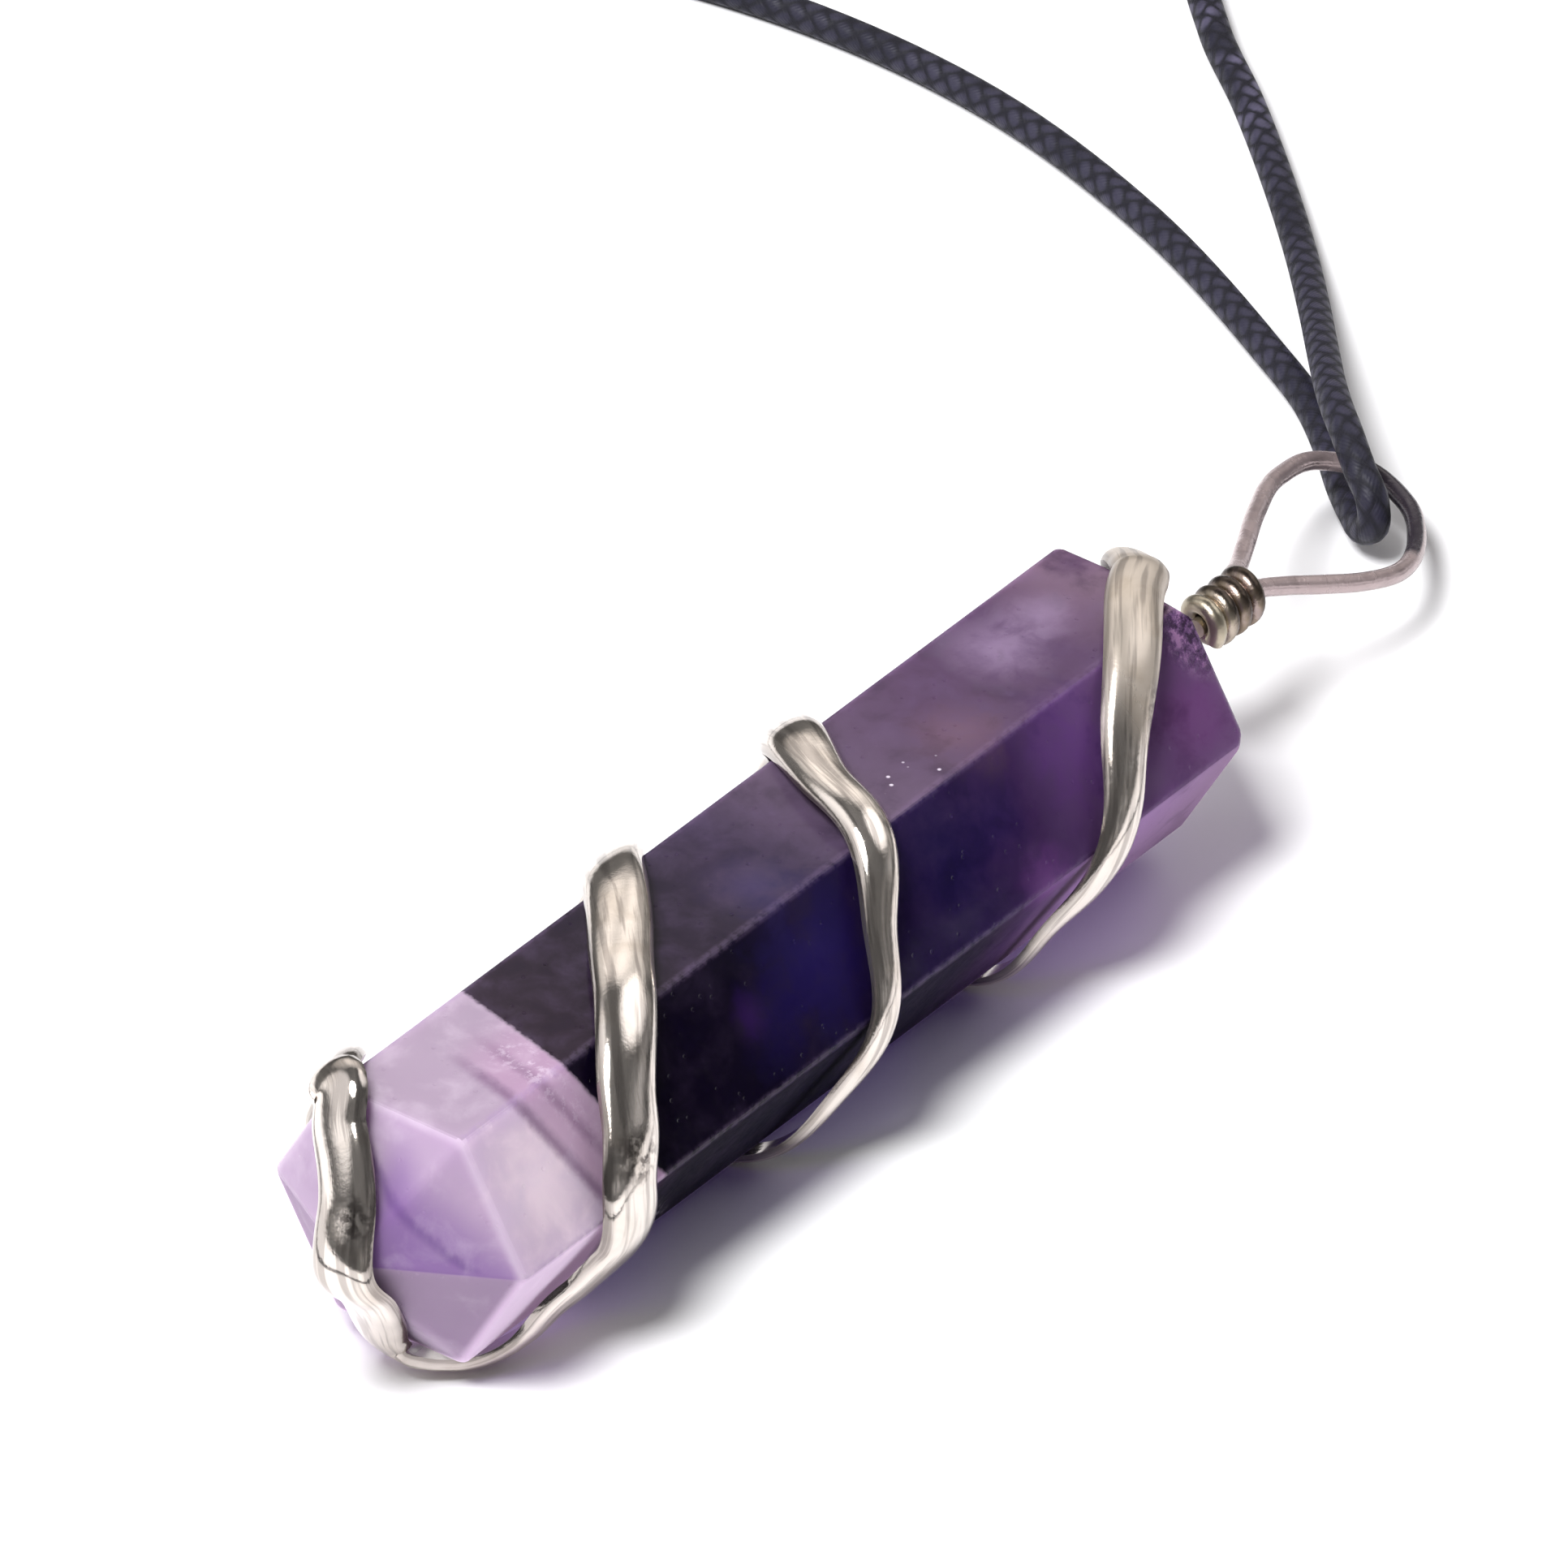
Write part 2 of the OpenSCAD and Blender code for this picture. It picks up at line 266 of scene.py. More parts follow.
# camera
up = math.radians(studio["elevation"])
aim = Vector(studio["aim"]) * mm
away = Vector((0, -math.cos(up), math.sin(up)))
bpy.ops.object.select_all(action="DESELECT")
bpy.ops.object.camera_add(location=aim + away * studio["distance"] * mm)
camera = bpy.context.object
camera.name = "camera"
camera.rotation_euler = (math.pi / 2 - up, 0, 0)
camera.data.sensor_width = studio["sensor"]
camera.data.lens = studio["sensor"] * studio["distance"] / studio["pictureWidth"]
camera.data.clip_start, camera.data.clip_end = studio["clip"]
bpy.context.scene.camera = camera
print("camera placed")

# the cord, one whole loop from one side of its knot round to the other
cordLine = {
    "thick": 1.2,
    "sides": 16,
    "stepsToPoint": 14,
    "points": [
        (-6.9, -41.2, 1.2), (-13.7, -41.4, 0.78), (-25.5, -41.6, 0.62), (-32, -39.4, 0.62),
        (-35.4, -33.5, 0.62), (-36.2, -20, 0.62), (-36.2, 5.3, 0.62), (-36, 35.3, 0.62), (-35.7, 53.3, 0.62),
        (-31.7, 62.8, 0.62), (-22.7, 65.3, 0.62), (-11.7, 63.3, 0.62), (-2.7, 59.2, 0.62),
        (4.6, 53.4, 0.62), (10.4, 45.9, 0.62), (14.8, 37.5, 0.62), (16.4, 33.8, 0.62),
        (17.1, 31, 0.62), (17.5, 28.7, 0.65), (17.9, 26.8, 0.85), (18.3, 25.2, 1.2),
        (18.6, 24.6, 1.85), (18.55, 24.85, 2.65), (18.1, 25.9, 3.3), (17.7, 27.4, 3.65),
        (17.35, 29.2, 3.55), (17.1, 31.3, 3.15), (16.9, 33.9, 2.6), (16.55, 38.9, 1.5),
        (16.1, 43.3, 0.85), (15.5, 47.2, 0.62), (14.3, 53, 0.62), (13.1, 57.7, 0.62),
        (12.7, 63.3, 0.62), (16.8, 68.6, 0.62), (23.8, 69.1, 0.62), (28.8, 64.3, 0.62),
        (30.6, 54.3, 0.62), (30.8, 25.3, 0.62), (30.8, -8, 0.62), (30.7, -28, 0.62), (29.5, -36.6, 0.62),
        (25, -40.9, 0.62), (16.5, -41.7, 0.62), (6, -41.3, 0.82), (-2.5, -41.2, 1.2),
    ],
    "strandsRound": 4,            # strands that lean each way in its braid
    "strandPitch": 1.05,          # mm along the cord for one strand's width
    "wax": tint(34, 33, 50),
    # painted glint colour for the strands' crowns
    "waxGlint": tint(118, 112, 142),
    # painted shade colour for the valleys between the strands
    "waxInShade": tint(19, 18, 30),
    "glinting": ((0.0118, 0.0126), (0.049, 0.055)),   # where the painted glints show most: m along X, m along Y
}


def cordMaterial():
    # braided strands under wax, with painted shade between the strands and painted glints on their crowns, from
    # the cord's own u and v in mm
    material, flow, shader = newMaterial("waxedBraid")
    roundIt, alongIt = flow.node("ShaderNodeTexCoord", out="UV").split()[:2]
    turns = roundIt / (math.pi * cordLine["thick"]) * cordLine["strandsRound"]
    steps = alongIt / cordLine["strandPitch"]
    rightHand, leftHand = turns + steps, turns - steps
    wholeRight, wholeLeft = flow.sum("FLOOR", rightHand), flow.sum("FLOOR", leftHand)
    over = flow.sum("MODULO", abs(wholeRight + wholeLeft), 2.0).rise(0.4, 0.6)
    crownRight = flow.sum("SINE", (rightHand - wholeRight) * math.pi)
    crownLeft = flow.sum("SINE", (leftHand - wholeLeft) * math.pi)
    crown = (over * crownRight * (0.55 + 0.45 * crownLeft)
             + (1 - over) * crownLeft * (0.55 + 0.45 * crownRight))
    place = flow.node("ShaderNodeTexCoord", out="Object")
    fine = place.noise(5200, 3.0, 0.6)
    wide = place.noise(260, 3.0, 0.5)
    thread = flow.sum("SINE", (over * leftHand + (1 - over) * rightHand) * 34)
    # painted shade: the braid darker in the valleys between its strands, with fine random tone
    shade = (crown.rise(0.1, 0.95) * 0.8 + (fine - 0.5) * 0.5).rise(0.0, 1.0)
    colour = shade.mix(cordLine["waxInShade"], cordLine["wax"])
    # painted glints on the strands' crowns, most of them on the strand that climbs from the loop
    x, y = place.split()[:2]
    acrossIt, upIt = cordLine["glinting"]
    glinting = x.rise(*acrossIt) * y.rise(*upIt) * 0.85 + 0.12
    colour = (shade * wide.rise(0.36, 0.56) * glinting).mix(colour, cordLine["waxGlint"])
    feed(shader, {
        "Base Color": colour,
        "Roughness": 0.5 + (fine - 0.5) * 0.3 + (1 - shade) * 0.2,
        "Specular IOR Level": 0.35,
        "Normal": (crown * 0.6 + fine * 0.3 + thread * 0.05).bump(0.7, 0.0001),
    })
    return material


cordPath = smoothRun(cordLine["points"], cordLine["stepsToPoint"])
cord = sweptTube("waxedCord", cordPath, cordLine["thick"], cordLine["sides"])
smoothFaces(cord, 50)
braid = cordMaterial()
cord.data.materials.append(braid)
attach(cord, "root")
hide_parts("cord")
print("cord laid,", round(runLengths(cordPath)[-1]), "mm")

# the knot: the cord wound round itself, with both ends drawn in at its middle
knotWind = {
    "turns": 3.0,
    "stepsToTurn": 22,
    "thick": 1.16,
    "reach": 0.7,
    "middle": (-4.7, -41.2, 1.3),
    "length": 4.2,
    "endGap": 0.1,                # what the coil leaves free at its two ends
    "dive": (0.35, 4.0),          # share of the reach at each end, and how soon it grows
}


def makeKnot():
    coil = []
    count = int(knotWind["turns"] * knotWind["stepsToTurn"])
    span = knotWind["length"] - knotWind["thick"] - knotWind["endGap"]
    least, pace = knotWind["dive"]
    x, y, z = knotWind["middle"]
    for k in range(count + 1):
        t = k / count
        turn = 2 * math.pi * knotWind["turns"] * t
        ease = min(1.0, pace * t + least, pace * (1 - t) + least)   # the ends dive towards the axis
        coil.append(Vector((x - span / 2 + span * t, y + knotWind["reach"] * ease * math.sin(turn),
                            z + knotWind["reach"] * ease * math.cos(turn))))
    halfIt = Vector((knotWind["length"] / 2, 0, 0))
    coil = [Vector((x, y, z)) - halfIt] + coil + [Vector((x, y, z)) + halfIt]
    knot = sweptTube("cordKnot", coil, knotWind["thick"], cordLine["sides"])
    smoothFaces(knot, 50)
    knot.data.materials.append(braid)
    return knot


knot = makeKnot()
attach(knot, "root")
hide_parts("cord_knot")
(cordPath[0] * mm)[:]
cordLine["thick"] * mm
[(p * mm)[:] for p in cordPath]
print("knot tied")

# the stone, a double-ended six-sided point
stone = {
    "overCorners": 5.6,           # radius
    "shaft": 41.5,
    "tipHeight": 3.1,
    "headHeight": 4.3,
    "edgeRound": 0.18,
    "edgeSteps": 4,
    "sharpest": 12,               # degrees, edges that turn less than this stay as they are
    # natural chips: a point of each one's plane and its outward direction, as along, left, up
    "chips": [
        ((20.9, 2.9, 4.7), (0.62, 0.34, 0.70)),
        ((20.6, -3.0, 4.5), (0.74, -0.30, 0.60)),
        ((21.4, -3.3, 3.3), (0.80, -0.52, 0.30)),
        ((22.0, -1.9, 3.2), (0.70, -0.10, 0.70)),
        ((20.9, -5.2, -0.6), (0.55, -0.83, -0.10)),
        ((20.9, 5.3, 0.8), (0.60, 0.78, 0.20)),
        ((-21.5, -2.2, 4.1), (-0.86, -0.30, 0.42)),
        ((-21.0, 3.2, 4.4), (-0.70, 0.40, 0.60)),
        ((-23.3, 0.3, 0.2), (-0.97, 0.10, 0.20)),
    ],
}


def makeStone():
    bpy.ops.object.select_all(action="DESELECT")
    bpy.ops.mesh.primitive_cylinder_add(vertices=6, radius=stone["overCorners"], depth=stone["shaft"],
                                        end_fill_type="TRIFAN")
    piece = bpy.context.object
    piece.name = piece.data.name = "crystalStone"
    # the middle of each end drawn out into its point
    for v in piece.data.vertices:
        if math.hypot(v.co.x, v.co.y) < stone["overCorners"] / 2:
            v.co.z += stone["headHeight"] if v.co.z > 0 else -stone["tipHeight"]
    # the shaft lies along X on one of its flats
    piece.rotation_euler = (0, math.pi / 2, 0)
    bpy.ops.object.transform_apply(location=True, rotation=True, scale=True)
    piece.rotation_euler = (cornerTurn(piece), 0, 0)
    bpy.ops.object.transform_apply(location=True, rotation=True, scale=True)
    bpy.ops.object.mode_set(mode="EDIT")
    for place, outward in stone["chips"]:
        bpy.ops.mesh.select_all(action="SELECT")
        bpy.ops.mesh.bisect(plane_co=place, plane_no=outward, use_fill=True, clear_outer=True)
    bpy.ops.mesh.select_all(action="SELECT")
    bpy.ops.mesh.normals_make_consistent(inside=False)
    bpy.ops.object.mode_set(mode="OBJECT")
    edges = piece.modifiers.new("roundedEdges", "BEVEL")
    edges.width, edges.segments, edges.use_clamp_overlap = stone["edgeRound"], stone["edgeSteps"], False
    edges.limit_method, edges.angle_limit = "ANGLE", math.radians(stone["sharpest"])
    bpy.ops.object.modifier_apply(modifier=edges.name)
    piece.scale = (mm, mm, mm)
    piece.rotation_euler = (0, 0, math.radians(stonePlace["turn"]))
    piece.location = Vector(stonePlace["middle"]) * mm
    bpy.ops.object.transform_apply(location=True, rotation=True, scale=True)
    smoothFaces(piece, stone["sharpest"])
    return piece


def cornerTurn(piece):
    # the turn about X that brings a corner of the shaft to its right side
    v = max(piece.data.vertices, key=lambda v: math.hypot(v.co.y, v.co.z)).co
    return -math.atan2(v.z, v.y)


stoneLook = {
    "reach": 50.0,                # mm of the colour runs below, from 24 mm before the stone's middle
    "start": -24.0,
    "pale": (184, 166, 188),
    # colours along it on the faces that look ahead, up and down: the stone's own zoning along it, while how the
    # three faces differ is painted light and shade
    "front": [(-15, (12, 6, 22)), (-12, (9, 4, 20)), (-6, (10, 5, 23)), (0, (24, 14, 50)), (6, (36, 22, 64)),
              (10, (54, 30, 74)), (14, (96, 68, 112)), (19, (100, 70, 112)), (25, (116, 88, 128))],
    "top": [(-15, (38, 27, 39)), (-9, (34, 25, 39)), (-5, (38, 29, 46)), (-1, (52, 40, 64)), (4, (92, 76, 97)),
            (10, (80, 59, 86)), (16, (80, 57, 87)), (20, (118, 95, 114)), (25, (120, 92, 126))],
    "under": [(-15, (60, 40, 66)), (-12, (8, 4, 18)), (-3, (9, 5, 24)), (2, (11, 6, 26)), (6, (20, 10, 34)),
              (9, (60, 38, 76)), (13, (126, 94, 146)), (20, (124, 98, 130)), (25, (120, 92, 132))],
    # the pale end's border lies at these along, moved by shares of left and high and a shift
    "border": (-14.15, -13.85),
    "slant": (0.25, 0.62, 2.6),
    # seams beside it: how far from it, half-width, share, colour
    "seams": [(-16.7, 0.5, 0.75, (116, 88, 118)), (-15.3, 0.45, 0.6, (124, 96, 124))],
    "pointStarts": (-21.0, -20.8),
    "broken": (21.2, -2.6, 3.8),  # middle of the sugary place at the head
    "through": (94, 56, 128),     # light that has passed the stone
    # soft lighter and darker patches inside it, partly its own clouded colour and partly painted internal
    # reflections and glints: place as along, left, up, reach in mm, colour, share
    "glows": [
        ((-2.0, -4.1, 2.6), 3.4, (34, 24, 88), 0.6),
        ((-4.8, -4.4, 2.0), 2.6, (28, 18, 76), 0.5),
        ((-6.1, -4.2, 2.5), 1.3, (52, 26, 84), 0.5),
        ((5.6, -4.1, 2.6), 3.0, (20, 14, 60), 0.6),
        ((8.5, -4.0, 2.7), 2.2, (28, 18, 70), 0.5),
        ((13.0, -3.9, 3.0), 3.0, (98, 54, 132), 0.45),
        ((9.5, -5.4, 0.3), 1.8, (120, 70, 140), 0.45),
        ((19.1, -4.6, 1.7), 2.4, (120, 72, 130), 0.5),
        ((14.5, 0.6, 4.85), 2.6, (150, 128, 160), 0.6),
        ((16.9, 0.7, 4.85), 2.0, (156, 134, 166), 0.5),
        ((-2.4, -1.5, 4.85), 2.2, (60, 50, 92), 0.5),
        ((9.6, -1.4, 4.85), 2.4, (112, 84, 100), 0.5),
        ((20.2, 1.8, 4.85), 1.6, (70, 46, 78), 0.7),
        ((-18.2, -4.2, 2.3), 3.6, (226, 208, 218), 0.75),
    ],
}


def stoneRun(place, name):
    start, reach = stoneLook["start"], stoneLook["reach"]
    return ((place - start) / reach).ramp([((at - start) / reach, tint(*colour))
                                          for at, colour in stoneLook[name]])


def stoneMaterial():
    material, flow, shader = newMaterial("violetQuartz")
    place = stoneFrame(flow)
    along, left, high = place.split()
    upward = flow.node("ShaderNodeTexCoord", out="Normal").split()[2]
    cloud = place.noise(0.28, 5.0, 0.6, 0.6)
    veil = place.noise(0.6, 5.0, 0.55, 0.3)
    grain = place.noise(3.2, 4.0, 0.6)
    wandering = along + (cloud - 0.5) * 1.4
    front, top, under = (stoneRun(wandering, name) for name in ("front", "top", "under"))
    onTop = upward.rise(0.7, 0.9)
    below = 1 - upward.rise(-0.3, 0.1)
    # the pale end stops at a sharp slanting border
    leftShare, highShare, shift = stoneLook["slant"]
    border = along - left * leftShare + high * highShare - shift + (grain - 0.5) * 0.25
    pale = (1 - border.rise(*stoneLook["border"])) * (1 - below * along.rise(-14.4, -13.6))
    # faces that look up and down take their own colour runs: painted light and shade
    colour = pale.mix(below.mix(onTop.mix(front, top), under), tint(*stoneLook["pale"]))
    # soft patches: the stone's own clouds and painted internal reflections
    for middle, reach, inside, share in stoneLook["glows"]:
        near = place.farFrom(middle) + (veil - 0.5) * reach * 1.6
        colour = ((1 - near.rise(0.0, reach)) * share).mix(colour, tint(*inside))
    # clouds and veils inside the stone, the light veils stronger on the top faces as painted sheen
    colour = (veil.rise(0.4, 0.8) * (1 - pale) * (0.04 + 0.08 * onTop)).mix(colour, tint(130, 108, 152))
    colour = ((1 - veil.rise(0.28, 0.5)) * (1 - pale) * 0.3).mix(colour, tint(12, 7, 30))
    # its point: violet below a crease on one facet, lighter lilac on the facet under that
    onShaft = along.rise(*stoneLook["pointStarts"])
    onPoint = 1 - onShaft
    crease = high - (left + 4.04) * 0.717 + (veil - 0.5) * 0.8
    violet = onPoint * (1 - crease.rise(-0.2, 2.4)) * high.rise(-0.1, 0.0) * (1 - left.rise(-1.0, 0.4))
    # lilac over the point, painted darker on its lower half as shade
    lilac = high.rise(-0.1, 0.0).mix(tint(140, 116, 147), tint(164, 140, 170))
    colour = (onPoint * 0.6).mix(colour, lilac)
    colour = (violet * 0.8).mix(colour, tint(126, 92, 152))
    colour = (onPoint * crease.hump(0.0, 0.4) * high.rise(0.0, 0.3) * 0.5).mix(colour, tint(98, 66, 126))
    # painted light and shade: the pale end greyer and darker on its top faces
    colour = (pale * onTop * 0.85).mix(colour, tint(150, 133, 152))
    # mauve behind the border, with a dark seam and a fainter one, and milk beyond them
    outside = 1 - left.rise(-1.5, 1.5)
    colour = (pale * border.rise(-17.0, -16.2) * outside * 0.7).mix(colour, tint(166, 134, 162))
    for at, half, share, dark in stoneLook["seams"]:
        colour = (pale * border.hump(at, half) * outside * share).mix(colour, tint(*dark))
    colour = ((veil - 0.2).rise(0.25, 0.55) * pale * 0.2).mix(colour, tint(222, 208, 224))
    # small white chips, thick along the edge of the pale zone and on the top face
    specks = 1 - place.node("ShaderNodeTexVoronoi", None,
                            {"Vector": place, "Scale": 1.55, "Randomness": 1.0}).rise(0.07, 0.15)
    crowd = onTop * along.hump(6.0, 2.6) * left.hump(-2.0, 2.6) * 1.3 + 0.1
    crust = border.hump(-15.0, 1.3) * left.hump(-1.8, 3.2) * place.noise(2.6, 4.0, 0.75).rise(0.5, 0.66)
    chips = specks * (crowd + (grain - 0.5) * 1.4).rise(0.35, 0.6) * 0.8 + crust * 0.42
    colour = chips.mix(colour, tint(222, 210, 226))
    # painted highlight: fine line along each ground edge, light on the dark part and mauve on the pale end
    fromAxis = flow.sum("SQRT", left * left + high * high)
    edge = fromAxis.rise(5.46, 5.56) * grain.rise(0.3, 0.6)
    colour = (edge * (0.12 + pale * 0.25)).mix(colour, tint(150, 126, 166))
    # broken, sugary place at the head
    broken = 1 - place.farFrom(stoneLook["broken"]).rise(1.3, 2.6)
    sugar = place.noise(2.2, 4.0, 0.7)
    colour = (broken * sugar.rise(0.5, 0.6) * 0.8).mix(colour, tint(176, 132, 178))
    colour = (broken * (1 - sugar.rise(0.4, 0.5)) * 0.9).mix(colour, tint(48, 28, 56))
    wave = place.noise(0.16, 2.0, 0.5)
    dents = wave + grain * 0.012 + specks * -0.05 + broken * sugar * 2.0
    feed(shader, {
        "Base Color": colour,
        "Roughness": 0.12 + grain.rise(0.35, 0.8) * 0.12 + broken * 0.3 + below * 0.75,
        "IOR": 1.54,
        "Specular IOR Level": 0.1,
        "Subsurface Weight": 0.8,
        "Subsurface Radius": (1.0, 0.85, 1.0),
        "Subsurface Scale": 0.002,
        "Normal": dents.bump(0.6, 0.0005),
        # painted glow: emission on the faces that look down, standing in for light carried through the stone
        "Emission Color": (below * (onShaft * (1 - along.rise(-15.5, -14.5)) * 0.17
                                     + along.rise(8.5, 13.0) * 0.07)).mix((0, 0, 0, 1), (1, 0.66, 1, 1)),
        "Emission Strength": 1.0,
    })
    material.cycles.emission_sampling = "NONE"      # too faint to light anything else
    # light that reaches the surface through the stone comes out violet
    through = flow.node("ShaderNodeBsdfTransparent", None, {"Color": tint(*stoneLook["through"])})
    shadow = flow.node("ShaderNodeLightPath", out="Is Shadow Ray")
    both = flow.node("ShaderNodeMixShader", None, {0: shadow, 2: through})
    flow.tree.links.new(shader.outputs[0], both.socket.node.inputs[1])
    flow.tree.links.new(both.socket, flow.tree.nodes["Material Output"].inputs["Surface"])
    return material


stonePiece = makeStone()
stonePiece.data.materials.append(stoneMaterial())
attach(stonePiece, "root")
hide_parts("crystal_point")
print("stone cut,", len(stonePiece.data.polygons), "faces")

# the cage: one half-round band from the head round to the tip
cage = {
    "wide": 1.95,
    "thick": 0.7,
    "gap": 0.08,                  # clear of the stone
    "flatSag": 0.06,              # share of the reach that it loses over a flat
    "leastThick": 0.3,            # share of the thickness that doesn't follow the width
    "ends": (0.9, 0.25),          # mm over which each end narrows, and the share it narrows to
    "soft": (0.92, 0.86),         # how soft the section's foot and crown are, 1 for a plain half round
    "aroundUv": 4.0,              # what u runs to round the section
    "steps": 12,
    "facets": 14,
    # turns behind, angle round the stone, reach, place along, lean, share of the width,
    # and in some rows how far its flat side turns past the angle
    "rows": [
        (0, 235, 0.3, 1.86, -48, 0.7), (0, 205, 0.32, 1.83, -48, 0.8), (0, 175, 0.36, 1.79, -48, 0.9),
        (0, 148, 0.43, 1.72, -48, 1), (0, 122, 0.54, 1.585, -48, 1), (0, 105, 0.7, 1.385, -43, 1),
        (0, 90, 0.87, 1.155, -28, 1), (0, 76, 0.98, 0.96, -8, 1.1), (0, 62, 1, 0.865, 0, 1.13),
        (0, 40, 1, 0.75, 0, 1.1), (0, 12, 1, 0.655, 0, 0.98), (0, -15, 0.99, 0.568, 0, 0.74),
        (0, -38, 0.97, 0.516, 0, 0.56), (0, -60, 1.01, 0.478, 0, 0.5), (0, -80, 1.03, 0.454, 0, 0.54),
        (0, -100, 1.035, 0.438, 0, 0.62), (0, -135, 1, 0.42, 0, 0.8), (0, -175, 1, 0.395, 0, 1),
        (1, 150, 1, 0.365, 0, 1), (1, 120, 1, 0.263, 0, 1.2), (1, 92, 1, 0.178, 0, 1.02),
        (1, 62, 1, 0.12, 0, 1), (1, 30, 1, 0.031, 0, 0.76), (1, 0, 1, -0.026, 0, 0.68),
        (1, -25, 1.02, -0.082, 0, 0.62), (1, -45, 1.03, -0.126, 0, 0.54), (1, -62, 1.04, -0.166, 0, 0.5),
        (1, -78, 1.04, -0.195, 0, 0.53), (1, -100, 1.034, -0.2, 0, 0.63), (1, -140, 1, -0.16, 0, 0.85),
        (1, -180, 1, -0.11, 0, 1), (2, 158, 1, -0.095, 0, 1), (2, 140, 1, -0.135, 0, 1.08),
        (2, 118, 1, -0.245, 0, 1.2), (2, 95, 1.01, -0.366, 0, 1.22), (2, 73, 1.01, -0.488, 0, 1.2),
        (2, 41, 1.01, -0.64, 0, 1.27), (2, 26, 1.03, -0.68, 0, 1.36), (2, 10, 1.01, -0.722, 0, 1.42),
        (2, -18, 1, -0.736, 0, 1.49), (2, -36, 0.97, -0.776, 0, 1.42, 5), (2, -46, 0.95, -0.822, 0, 1.27, 12),
        (2, -55, 0.98, -0.858, 0, 1, 14), (2, -61, 1.01, -0.895, 0, 0.84, 9), (2, -67, 1.01, -0.94, 4, 0.76, 4),
        (2, -75, 0.97, -0.98, 12, 0.8), (2, -84, 0.935, -1.012, 27, 0.92), (2, -91, 0.77, -1.225, 47, 1.1),
        (2, -88, 0.52, -1.46, 58, 1.26), (2, -80, 0.28, -1.72, 72, 1.34), (2, -76, 0.04, -2, 90, 1.34),
        (2, -75, -0.36, -1.7, 112, 1.28), (2, -66, -0.75, -1.33, 124, 1.25), (2, -60, -1, -1, 150, 1.15),
        (2, -46, -1, -0.915, 176, 1.05), (2, -20, -1, -0.86, 180, 1), (2, 8, -1, -0.84, 180, 1),
        (2, 30, -1, -0.815, 180, 0.92),
    ],
    "silver": tint(230, 221, 213),
    "tarnish": tint(158, 140, 116),
    "soot": tint(66, 56, 56),
    # stained places, also standing for painted dark reflection: middle as along, left, up, and reach in mm
    "stainsAndDarkReflections": [
        ((-24.3, -0.4, 2.3), 1.5), ((-14.7, -5.4, 1.8), 1.5),
        ((-13.0, 0.5, 5.6), 1.2), ((17.0, -4.8, 3.0), 1.6),
    ],
    "matt": ((14.2, 16.4), (1.2, 3.8)),   # where its head end turns matt: along, up
}


def makeCage():
    half = stone["shaft"] / 2
    scales = (0.1, 5, 20, 0.05, 2, 0.05)   # bring a row's numbers to a like size for the curve
    endLength, endLeast = cage["ends"]
    footSoft, crownSoft = cage["soft"]
    rows = [(r[1] - 360 * r[0],) + r[2:] + (0,) * (7 - len(r)) for r in cage["rows"]]
    run = smoothRun([[q * c for q, c in zip(r, scales)] for r in rows], cage["steps"])
    feet, outs, shares = [], [], []
    for row in run:
        angle, reach, place, lean, share, past = (q / c for q, c in zip(row, scales))
        turn, tilt, facing = math.radians(angle), math.radians(lean), math.radians(angle + past)
        sag = 1 - cage["flatSag"] * (1 - math.cos(6 * turn)) / 2
        radius = reach * stone["overCorners"] * sag
        along = (half + (place - 1) * stone["headHeight"] if place > 1
                 else -half + (place + 1) * stone["tipHeight"] if place < -1 else place * half)
        out = Vector((-math.sin(tilt), -math.cos(tilt) * math.cos(facing), math.cos(tilt) * math.sin(facing)))
        feet.append(Vector((along, -radius * math.cos(turn), radius * math.sin(turn))) + out * cage["gap"])
        outs.append(out)
        shares.append(share)
    # soft-edged half round: foot corners rounded, crown a flattened arch
    section = []
    for k in range(cage["facets"] + 1):
        a = math.pi * k / cage["facets"]
        foot = math.copysign(abs(math.cos(a)) ** footSoft, math.cos(a)) / 2
        section.append((foot, math.sin(a) ** crownSoft))
    dirs, rings = headings(feet), []
    lengths = runLengths(feet)
    for i, foot in enumerate(feet):
        across = dirs[i].cross(outs[i]).normalized()
        out = across.cross(dirs[i])
        fromEnd = min(lengths[i], lengths[-1] - lengths[i]) / endLength
        end = 1.0 if fromEnd >= 1 else max(endLeast, math.sqrt(1 - (1 - fromEnd) ** 2))
        thinned = min(1, cage["leastThick"] + (1 - cage["leastThick"]) * shares[i])
        wide, thick = cage["wide"] * shares[i] * end, cage["thick"] * thinned * end
        rings.append([inPlace(*(foot + across * (u * wide) + out * (w * thick))) / mm
                      for u, w in section])
    piece = sweptSkin("silverBand", rings, lengths, cage["aroundUv"])
    smoothFaces(piece, 45)
    return piece


